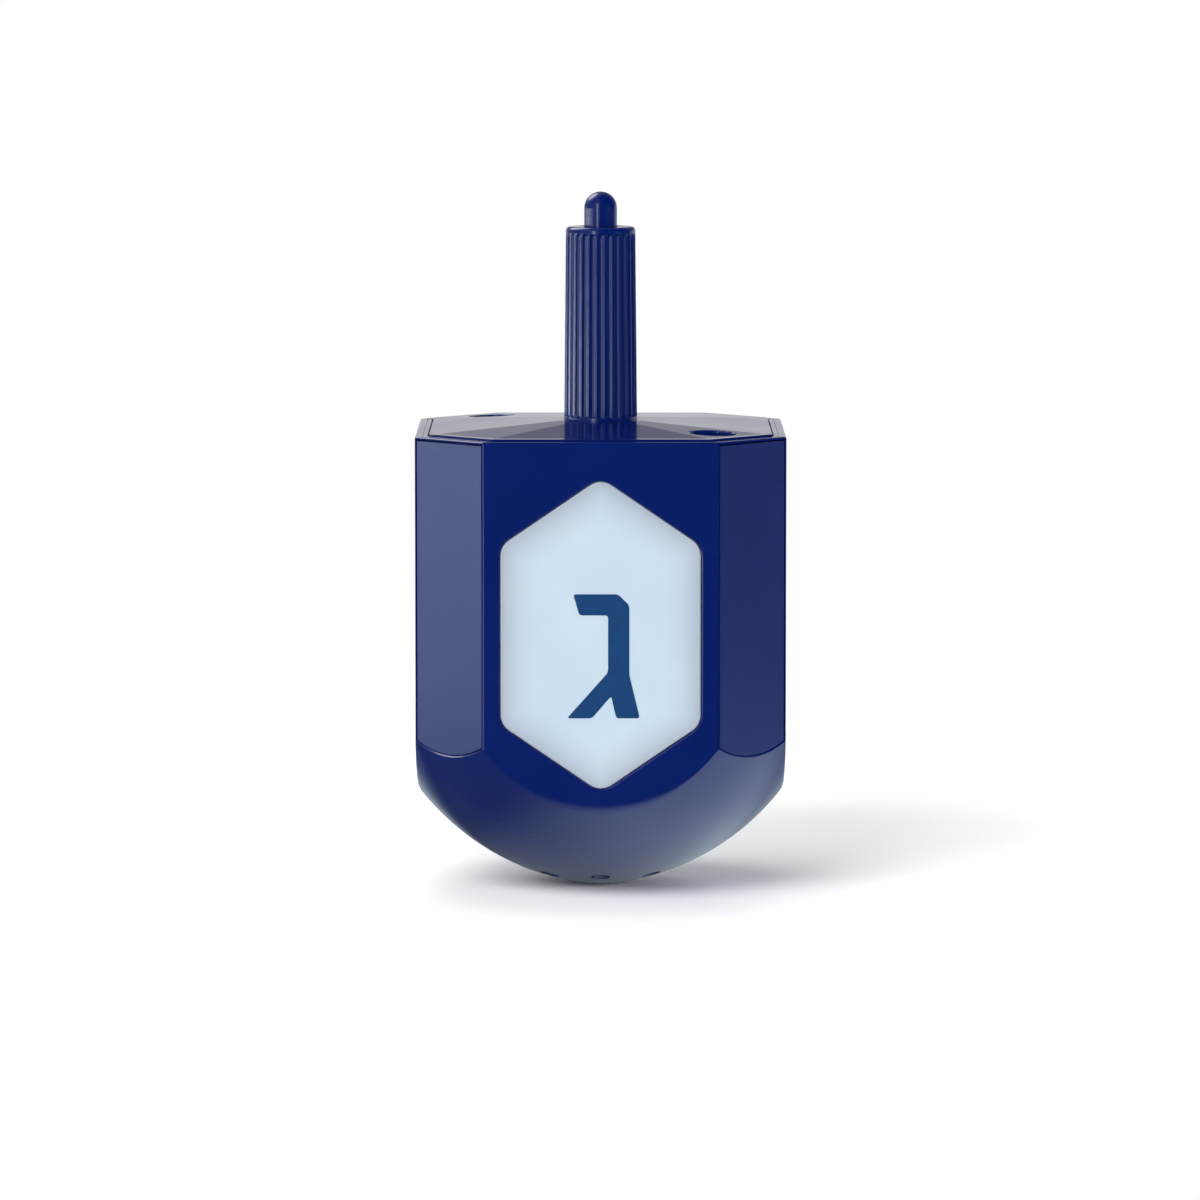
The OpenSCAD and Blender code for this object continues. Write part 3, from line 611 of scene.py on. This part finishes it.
def make_grip():
    across = list(RIDGE) + [(HALF_PITCH, FLUTE_DEPTH)] + [(-u, d) for u, d in RIDGE[:0:-1]]
    marks = []
    for i in range(FLUTES):
        for u, d in across:
            offset = u if u >= 0 else 2 * HALF_PITCH + u
            marks.append((math.tau * (i + 0.5 + offset / (2 * HALF_PITCH)) / FLUTES, abs(u), d))

    def ring(r, z, depth=0.0, run_out=0.0):
        """A ring with flutes of a share of their depth, whose sides run out before their middle"""
        points = []
        for a, u, d in marks:
            side = 1 - min(u / HALF_PITCH, 1)
            left = math.sqrt(max(0.0, 1 - run_out ** 2 - 0.9 * run_out * side))
            points.append(((r - d * depth * left) * math.cos(a), (r - d * depth * left) * math.sin(a), z))
        return points

    def tapered(z, depth=0.0, run_out=0.0):
        share = (z - LID_TOP) / (GRIP_TOP - LID_TOP)
        return ring(GRIP_BASE_R + (GRIP_TOP_R - GRIP_BASE_R) * share, z, depth, run_out)

    rings = [ring(SPRING_BORE_R, SPRING_FOOT), ring(GRIP_FLANGE_R, SPRING_FOOT), ring(GRIP_FLANGE_R, LID_LOW),
             ring(GRIP_BASE_R, LID_LOW), ring(GRIP_BASE_R, LID_TOP + 0.3)]
    rings += [tapered(LID_TOP + up, depth) for up, depth in FLUTE_START]
    rings += [tapered(z, 1) for z in (LID_TOP + 10, LID_TOP + 20, FLUTE_END)]
    rings += [tapered(FLUTE_END + FLUTE_RUN_OUT * t, 1, t) for t in FLUTE_ENDING]
    for a in (0, 20, 40, 60, 75, 90):
        a = math.radians(a)
        rings.append(ring(GRIP_TOP_R - GRIP_ROUND * (1 - math.cos(a)),
                          GRIP_TOP - GRIP_ROUND + GRIP_ROUND * math.sin(a)))
    rings += [ring(BORE_R + inset, GRIP_TOP - deep) for inset, deep in BORE_EDGE]
    rings += [ring(BORE_R, BUTTON_STOP), ring(SPRING_BORE_R, BUTTON_STOP)]
    return smooth(skin("fluted_grip", rings, closed=True), 40)


def make_button():
    """A rod that presses the switch, a collar on the spring, and the round-ended button above it"""
    profile = [(ROD_R - ROD_EDGE, ROD_END), (ROD_R, ROD_END + ROD_EDGE), (ROD_R, COLLAR_LOW),
               (COLLAR_R - COLLAR_EDGE, COLLAR_LOW), (COLLAR_R, COLLAR_LOW + COLLAR_EDGE),
               (COLLAR_R, COLLAR_TOP - COLLAR_EDGE), (COLLAR_R - COLLAR_EDGE, COLLAR_TOP),
               (BUTTON_R, COLLAR_TOP)]
    for a in (0, 8, 16, 24, 32, 40, 48, 56, 64, 71, 77, 82, 86, 89):
        a = math.radians(a)
        profile.append((BUTTON_R * math.cos(a), BUTTON_TOP - BUTTON_R + BUTTON_R * math.sin(a)))
    return smooth(turned("round_button", profile, 72))


def make_spring():
    """The return spring: one round wire, wound from the switch's housing up to the button's collar"""
    low, high = SPRING_FOOT + WIRE_R, COLLAR_LOW - WIRE_R
    coil_r, steps, wire_sides = (ROD_R + SPRING_BORE_R) / 2, 20, 8
    count = SPRING_TURNS * steps
    rings = []
    for k in range(count + 1):
        turn = math.tau * k / steps
        z = low + (high - low) * k / count
        ring = []
        for i in range(wire_sides):
            a = math.tau * i / wire_sides
            r = coil_r + WIRE_R * math.cos(a)
            ring.append((r * math.cos(turn), r * math.sin(turn), z + WIRE_R * math.sin(a)))
        rings.append(ring)
    return smooth(skin("return_spring", rings), 60)


# Materials

def linear(code):
    """sRGB hex to linear colour"""
    parts = [int(code[i:i + 2], 16) / 255 for i in (1, 3, 5)]
    return tuple(c / 12.92 if c <= 0.04045 else ((c + 0.055) / 1.055) ** 2.4 for c in parts) + (1.0,)


def add(tree, kind, inputs=None, **settings):
    """One node, with its settings and its input values or links"""
    made = tree.nodes.new(kind)
    for key, value in settings.items():
        setattr(made, key, value)
    for key, value in (inputs or {}).items():
        if isinstance(value, bpy.types.NodeSocket):
            tree.links.new(value, made.inputs[key])
        else:
            made.inputs[key].default_value = value
    return made


def new_material(name):
    material = bpy.data.materials.new(name)
    material.use_nodes = True
    material.node_tree.nodes.clear()
    return material, material.node_tree


def per_mm(size):
    """Noise scale at which a feature is about this many millimetres wide"""
    return 1000 / size


# Injection-moulded ABS, navy: one even deep colour under a gloss that shows the faint ripple of the mould.
# The mould of the body is polished; that of the corner panels is finely blasted, so their gloss spreads
def navy_abs(name, gloss, grain_mm):
    material, tree = new_material(name)
    at = add(tree, "ShaderNodeTexCoord").outputs["Object"]
    flow = add(tree, "ShaderNodeTexNoise", {"Vector": at, "Scale": per_mm(9), "Detail": 3.0}).outputs["Fac"]
    grain = add(tree, "ShaderNodeTexNoise", {"Vector": at, "Scale": per_mm(0.6), "Detail": 2.0})
    colour = add(tree, "ShaderNodeMix", {"Factor": flow, 6: linear("#021655"), 7: linear("#041b5e")},
                 data_type="RGBA")
    rough = add(tree, "ShaderNodeMapRange", {"Value": flow, "To Min": gloss - 0.03, "To Max": gloss + 0.03})
    ripple = add(tree, "ShaderNodeBump", {"Height": flow, "Strength": 0.2, "Distance": 0.05 * MM})
    bump = add(tree, "ShaderNodeBump", {"Height": grain.outputs["Fac"], "Strength": 0.2,
                                        "Distance": grain_mm * MM, "Normal": ripple.outputs["Normal"]})
    plastic = add(tree, "ShaderNodeBsdfPrincipled", {
        "Base Color": colour.outputs[2], "Roughness": rough.outputs["Result"], "IOR": 1.54,
        "Normal": bump.outputs["Normal"]})
    add(tree, "ShaderNodeOutputMaterial", {"Surface": plastic.outputs["BSDF"]})
    return material


# Moulded translucent styrene, frosted on the back: pale, cool white with light that sinks in a little.
# Towards
# the edge its colour is mixed to grey: a painted shade, standing in for the shade along the wall round it
def frosted_styrene():
    material, tree = new_material("frosted_white_styrene")
    at = add(tree, "ShaderNodeTexCoord").outputs["Object"]
    cloud = add(tree, "ShaderNodeTexNoise", {"Vector": at, "Scale": per_mm(14), "Detail": 2.0}).outputs["Fac"]
    grain = add(tree, "ShaderNodeTexNoise", {"Vector": at, "Scale": per_mm(0.5), "Detail": 2.0})
    colour = add(tree, "ShaderNodeMix", {"Factor": cloud, 6: linear("#b1c5d6"), 7: linear("#c1d0db")},
                 data_type="RGBA")
    # Distance to the nearest edge: the upright one, or the slanted one above or below
    half_high = (WINDOW_HIGH - WINDOW_LOW) / 2
    slant = math.hypot(WINDOW_HALF, WINDOW_POINT)
    middle = (0, 0, (WINDOW_LOW + half_high) * MM)
    shade_width, shade_round, shade_power = 7 * MM, 2 * MM, 2.2
    off = add(tree, "ShaderNodeVectorMath", {0: at, 1: middle}, operation="SUBTRACT")
    off = add(tree, "ShaderNodeVectorMath", {0: off.outputs[0]}, operation="ABSOLUTE")
    off = add(tree, "ShaderNodeSeparateXYZ", {0: off.outputs[0]})
    across = add(tree, "ShaderNodeMath", {0: off.outputs["X"], 1: off.outputs["Y"]},
                 operation="MINIMUM").outputs[0]
    to_side = add(tree, "ShaderNodeMath", {0: WINDOW_HALF * MM, 1: across}, operation="SUBTRACT")
    lowered = add(tree, "ShaderNodeMath", {0: across, 1: -WINDOW_POINT / slant,
                                           2: half_high * WINDOW_HALF / slant * MM},
                  operation="MULTIPLY_ADD")
    to_slant = add(tree, "ShaderNodeMath", {0: off.outputs["Z"], 1: -WINDOW_HALF / slant,
                                            2: lowered.outputs[0]}, operation="MULTIPLY_ADD")
    edge = add(tree, "ShaderNodeMath", {0: to_side.outputs[0], 1: to_slant.outputs[0], 2: shade_round},
               operation="SMOOTH_MIN")
    # Painted shade: near the edge the pane's colour is mixed towards a grey
    near = add(tree, "ShaderNodeMapRange", {"Value": edge.outputs[0], "From Max": shade_width, "To Min": 1.0,
                                            "To Max": 0.0})
    painted_edge_shade = add(tree, "ShaderNodeMath", {0: near.outputs["Result"], 1: shade_power}, operation="POWER")
    colour = add(tree, "ShaderNodeMix", {"Factor": painted_edge_shade.outputs[0], 6: colour.outputs[2],
                                         7: linear("#9ea6b5")}, data_type="RGBA")
    bump = add(tree, "ShaderNodeBump", {"Height": grain.outputs["Fac"], "Strength": 0.12,
                                        "Distance": 0.01 * MM})
    pane = add(tree, "ShaderNodeBsdfPrincipled", {
        "Base Color": colour.outputs[2], "Roughness": 0.32, "IOR": 1.5, "Subsurface Weight": 0.15,
        "Subsurface Radius": (1.2 * MM, 1.4 * MM, 1.6 * MM), "Subsurface Scale": 1.0,
        "Normal": bump.outputs["Normal"]})
    add(tree, "ShaderNodeOutputMaterial", {"Surface": pane.outputs["BSDF"]})
    return material


# Pad-printed ink: dark blue, slightly uneven in gloss, a shade less shiny than the window
def printed_ink():
    material, tree = new_material("pad_printed_blue_ink")
    at = add(tree, "ShaderNodeTexCoord").outputs["Object"]
    noise = add(tree, "ShaderNodeTexNoise", {"Vector": at, "Scale": per_mm(1.5), "Detail": 4.0})
    patch = noise.outputs["Fac"]
    colour = add(tree, "ShaderNodeMix", {"Factor": patch, 6: linear("#023160"), 7: linear("#053e72")},
                 data_type="RGBA")
    rough = add(tree, "ShaderNodeMapRange", {"Value": patch, "To Min": 0.38, "To Max": 0.5})
    ink = add(tree, "ShaderNodeBsdfPrincipled", {
        "Base Color": colour.outputs[2], "Roughness": rough.outputs["Result"], "IOR": 1.48})
    add(tree, "ShaderNodeOutputMaterial", {"Surface": ink.outputs["BSDF"]})
    return material


def plain_finish(name, dark, light, size, roughness, metallic, bump_mm):
    """Two close shades in patches of a size, for the pieces inside the body"""
    material, tree = new_material(name)
    at = add(tree, "ShaderNodeTexCoord").outputs["Object"]
    noise = add(tree, "ShaderNodeTexNoise", {"Vector": at, "Scale": per_mm(size), "Detail": 3.0})
    patch = noise.outputs["Fac"]
    colour = add(tree, "ShaderNodeMix", {"Factor": patch, 6: linear(dark), 7: linear(light)},
                 data_type="RGBA")
    rough = add(tree, "ShaderNodeMapRange", {"Value": patch, "To Min": roughness - 0.06,
                                             "To Max": roughness + 0.06})
    bump = add(tree, "ShaderNodeBump", {"Height": patch, "Strength": 0.3, "Distance": bump_mm * MM})
    finish = add(tree, "ShaderNodeBsdfPrincipled", {
        "Base Color": colour.outputs[2], "Roughness": rough.outputs["Result"], "Metallic": metallic,
        "Normal": bump.outputs["Normal"]})
    add(tree, "ShaderNodeOutputMaterial", {"Surface": finish.outputs["BSDF"]})
    return material


# Pieces that show, and what they replace

NAVY = navy_abs("navy_polished_abs", 0.16, 0.002)
NAVY_SATIN = navy_abs("navy_satin_abs", 0.36, 0.012)
STYRENE = frosted_styrene()
INK = printed_ink()

put(make_shell(), NAVY, ["body_shell"])
panel = make_panel()
for corner, turn in CORNERS.items():
    put(copy_turned(panel, "panel_" + corner, turn), NAVY_SATIN, ["corner_panel_" + corner])
bpy.data.objects.remove(panel)
window = make_window()
for side, turn in SIDES.items():
    put(copy_turned(window, "pane_" + side, turn), STYRENE, ["window_" + side])
    put(make_letter(side), INK)
bpy.data.objects.remove(window)
put(smooth(soften_wells(make_lid()), 2), NAVY, ["lid"])
put(make_grip(), NAVY, ["grip_stem"])
put(make_button(), NAVY, ["push_button"], "button")

# Finishes of the pieces inside, which keep their solids: two shades, patch size, roughness, metallic and bump
# depth. Plated and bright metals are smooth and pale, mouldings satin, boards glossy, paper and ferrite dull
INSIDE = {
    "zinc_plated_screw_steel": (("#a9adb3", "#c4c8cd", 1.2, 0.32, 1.0, 0.004),
                                ["lid_screws", "switch_housing_screws", "core_screws", "clamp_screws"]),
    "bright_spring_steel": (("#9a9da3", "#bfc2c7", 0.8, 0.28, 1.0, 0.003),
                            ["battery_upper_contact", "battery_lower_contact"]),
    "nickel_plated_cell_can": (("#b9bcc0", "#d4d6d8", 3.0, 0.24, 1.0, 0.003),
                               ["battery_cell_top", "battery_cell_middle", "battery_cell_bottom"]),
    "white_reflector_abs": (("#e6e6e0", "#f4f4f0", 5.0, 0.42, 0.0, 0.01),
                            ["reflector_core", "switch_plunger", "speaker_clamp"]),
    "black_moulded_abs": (("#1c1d20", "#26272b", 4.0, 0.4, 0.0, 0.01),
                          ["switch_housing", "switch_body", "sound_chip", "capacitor"]),
    "green_solder_mask": (("#14452a", "#1c5a36", 1.4, 0.3, 0.0, 0.02), ["main_board", "switch_board"]),
    "clear_led_epoxy": (("#dfe6ea", "#f3f6f8", 2.0, 0.12, 0.0, 0.002),
                        ["led_front", "led_right", "led_back", "led_left"]),
    "pressed_speaker_steel": (("#8f9297", "#aaadb2", 2.0, 0.38, 1.0, 0.005), ["speaker_frame"]),
    "black_cone_paper": (("#18181a", "#242427", 0.4, 0.8, 0.0, 0.03), ["speaker_cone"]),
    "sintered_ferrite": (("#2c2c30", "#3a3a3f", 0.7, 0.6, 0.0, 0.02), ["speaker_magnet"]),
    "red_lead_vinyl": (("#a01c20", "#b8262a", 2.0, 0.4, 0.0, 0.005), ["switch_lead_red", "speaker_lead_red"]),
    "black_lead_vinyl": (("#1a1a1c", "#242427", 2.0, 0.4, 0.0, 0.005),
                         ["switch_lead_black", "speaker_lead_black"]),
}
for name, (look, nodes) in INSIDE.items():
    material = plain_finish(name, *look)
    for node in nodes:
        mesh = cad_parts[node].data
        mesh.materials.clear()
        mesh.materials.append(material)

# The return spring, wound between its foot and the button's collar, with a mesh of its own
spring = put(make_spring(), bpy.data.materials["bright_spring_steel"], ["button_spring"])
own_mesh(spring)


# Stage, in metres: a white table that ends in front of the object, a white room, soft lamps and the camera

def light_level(tree, patches):
    """The brightest of some soft-edged patches of light. A patch is a product of soft steps, each with the
    value that it follows, where the step starts and ends, and the levels before and after it"""
    brightest = 0.0
    for steps in patches:
        patch = 1.0
        for value, start, end, before, after in steps:
            step = add(tree, "ShaderNodeMapRange", {"Value": value, "From Min": start, "From Max": end,
                                                    "To Min": before, "To Max": after},
                       interpolation_type="SMOOTHSTEP")
            patch = add(tree, "ShaderNodeMath", {0: patch, 1: step.outputs["Result"]},
                        operation="MULTIPLY").outputs[0]
        brightest = add(tree, "ShaderNodeMath", {0: brightest, 1: patch}, operation="MAXIMUM").outputs[0]
    return brightest


# White paper. The camera sees it with the object's shadow, and it fades into the white round it. The gloss
# sees painted light on it, an emission in place of its shading: dark close in front of the object, brightest
# on its right, with a painted shadow round the foot and behind on the right, and a painted glare of a softbox
# at the far left
def table_paper():
    material, tree = new_material("white_table_paper")
    at = add(tree, "ShaderNodeTexCoord").outputs["Object"]
    far = add(tree, "ShaderNodeVectorMath", {0: at}, operation="LENGTH").outputs["Value"]
    place = add(tree, "ShaderNodeSeparateXYZ", {0: at})
    x, y = place.outputs["X"], place.outputs["Y"]
    path = add(tree, "ShaderNodeLightPath")
    fade = add(tree, "ShaderNodeMath", {0: light_level(tree, [[(far, 0.12, 0.4, 0.0, 1.0)]]),
                                        1: path.outputs["Is Camera Ray"]}, operation="MULTIPLY")
    tone = add(tree, "ShaderNodeMix", {"Factor": path.outputs["Is Camera Ray"], 6: (0.92, 0.92, 0.92, 1),
                                       7: (1.16, 1.16, 1.16, 1)}, data_type="RGBA")
    paper = add(tree, "ShaderNodeBsdfDiffuse", {"Color": tone.outputs[2]})
    white = add(tree, "ShaderNodeEmission", {"Color": (1, 1, 1, 1), "Strength": 1.0})
    shown = add(tree, "ShaderNodeMixShader", {0: fade.outputs[0], 1: paper.outputs[0], 2: white.outputs[0]})
    # Painted light for the gloss: brightest on the right, with painted shadow round the foot and behind the
    # object
    right = [(x, -0.03, 0.012, 0.14, 1.6), (x, 0.1, 0.25, 1.0, 0.3), (y, -0.012, 0.02, 1.0, 0.35),
             (far, 0.0, 0.03, 0.1, 1.0), (y, -0.06, -0.03, 0.02, 1.0)]
    behind = [(y, 0.0, 0.04, 0.0, 0.45), (x, 0.0, -0.03, 1.0, 1.6)]
    far_behind = [(y, 0.1, 0.25, 0.0, 1.0)]
    # Painted glare of a softbox on the paper, far out on the left
    painted_glare = [(x, -0.06, -0.2, 0.0, 2.1), (x, -0.7, -0.8, 1.0, 7 / 3), (x, -0.95, -1.05, 1.0, 3.2),
             (x, -1.3, -1.5, 1.0, 0.4), (y, 0.35, 0.9, 1.0, 0.06)]
    painted_reflection = add(tree, "ShaderNodeEmission", {
        "Color": (0.78, 0.91, 1, 1), "Strength": light_level(tree, [right, behind, far_behind, painted_glare])})
    mix = add(tree, "ShaderNodeMixShader", {0: path.outputs["Is Glossy Ray"], 1: shown.outputs[0],
                                            2: painted_reflection.outputs[0]})
    add(tree, "ShaderNodeOutputMaterial", {"Surface": mix.outputs[0]})
    return material


# White to the camera. The gloss sees a low backdrop behind the object, a softbox on its left, a ceiling
# light, a pale wall with a tall strip light in front on the left, and darkness elsewhere. Other light gets a
# dim, even room
def studio_room():
    world = bpy.data.worlds.new("studio")
    world.use_nodes = True
    tree = world.node_tree
    tree.nodes.clear()
    path = add(tree, "ShaderNodeLightPath")
    seen = add(tree, "ShaderNodeMath", {0: path.outputs["Is Camera Ray"],
                                        1: path.outputs["Is Transmission Ray"]}, operation="MAXIMUM")
    direction = add(tree, "ShaderNodeTexCoord").outputs["Generated"]
    way = add(tree, "ShaderNodeSeparateXYZ", {0: direction})
    x, y, z = way.outputs["X"], way.outputs["Y"], way.outputs["Z"]
    left = add(tree, "ShaderNodeVectorMath", {0: direction, 1: (-0.86, 0.1, 0.5)},
               operation="DOT_PRODUCT").outputs["Value"]
    up = add(tree, "ShaderNodeVectorMath", {0: direction, 1: (-0.5, 0.5, 0.707)},
             operation="DOT_PRODUCT").outputs["Value"]
    backdrop = [(y, 0.2, 0.6, 0.02, 1.0), (z, 0.115, 0.17, 0.84, 0.21), (x, -0.85, -0.3, 0.1, 1.0)]
    softbox = [(left, 0.5, 0.74, 0.0, 3.4), (z, -0.03, 0.05, 0.5, 0.2), (z, -0.068, -0.055, 2.6, 0.3)]
    ceiling = [(up, 0.74, 0.86, 0.0, 0.5), (up, 0.92, 0.97, 1.0, 9.8)]
    wall = [(y, -0.2, -0.5, 0.0, 1.0), (x, -0.03, -0.14, 0.0, 0.25)]
    strip = [(x, -0.29, -0.35, 0.0, 1.0), (x, -0.48, -0.42, 0.0, 1.0), (y, -0.6, -0.75, 0.0, 4.5),
             (z, -0.25, -0.12, 0.0, 1.0), (z, 0.6, 0.45, 0.0, 1.0)]
    room = add(tree, "ShaderNodeMix", {
        "Factor": path.outputs["Is Glossy Ray"], "A": 0.2,
        "B": light_level(tree, [backdrop, softbox, ceiling, wall, strip])})
    shown = add(tree, "ShaderNodeMix", {"Factor": seen.outputs[0], "A": room.outputs[0], "B": 1.0})
    sky = add(tree, "ShaderNodeBackground", {"Color": (1, 1, 1, 1), "Strength": shown.outputs[0]})
    add(tree, "ShaderNodeOutputWorld", {"Surface": sky.outputs[0]})
    return world


def lamp(name, at, aim, width, height, watts):
    light = bpy.data.lights.new(name, "AREA")
    light.shape = "RECTANGLE"
    light.size, light.size_y, light.energy = width, height, watts
    holder = bpy.data.objects.new(name, light)
    bpy.context.scene.collection.objects.link(holder)
    holder.location = at
    holder.rotation_euler = (Vector(aim) - Vector(at)).to_track_quat("-Z", "Y").to_euler()
    holder.visible_glossy = False


TABLE_WIDTH = 3.0
TABLE_NEAR = -0.2
TABLE_FAR = 2.2
bpy.ops.object.select_all(action="DESELECT")
bpy.ops.mesh.primitive_plane_add(size=1)
table = open_new("table")
table_shape = bmesh.from_edit_mesh(table.data)
for vert in table_shape.verts:
    vert.co.x *= TABLE_WIDTH
    vert.co.y = TABLE_NEAR if vert.co.y < 0 else TABLE_FAR
bmesh.update_edit_mesh(table.data)
bpy.ops.object.mode_set(mode="OBJECT")
table.data.materials.append(table_paper())
bpy.context.scene.world = studio_room()

lamp("key_front_left", (-0.55, -0.95, 0.8), (0, 0, 0.05), 0.8, 0.8, 13)
lamp("fill_left", (-0.9, -0.1, 0.4), (0, 0, 0.05), 0.8, 0.6, 2.0)
lamp("fill_behind", (-0.15, 0.3, 0.9), (0, 0, 0.05), 0.6, 0.6, 2.0)
lamp("fill_back", (0.25, 1.0, 0.45), (0, 0, 0.05), 0.6, 0.6, 4.5)
lamp("bounce_left", (-0.6, -0.35, 0.12), (0, 0, 0.03), 0.4, 0.2, 0.8)
lamp("bounce_right", (0.6, -0.35, 0.12), (0, 0, 0.03), 0.4, 0.2, 2.8)

# A long lens from a little above, solved from the object's edges
camera = bpy.data.cameras.new("camera")
camera.lens = 218.04
camera.sensor_width = 36.0
holder = bpy.data.objects.new("camera", camera)
bpy.context.scene.collection.objects.link(holder)
holder.location = (-0.0001, -1.1872, 0.1699)
holder.rotation_euler = (math.radians(84.07), 0, 0)
bpy.context.scene.camera = holder
bpy.context.scene.view_settings.view_transform = "Standard"
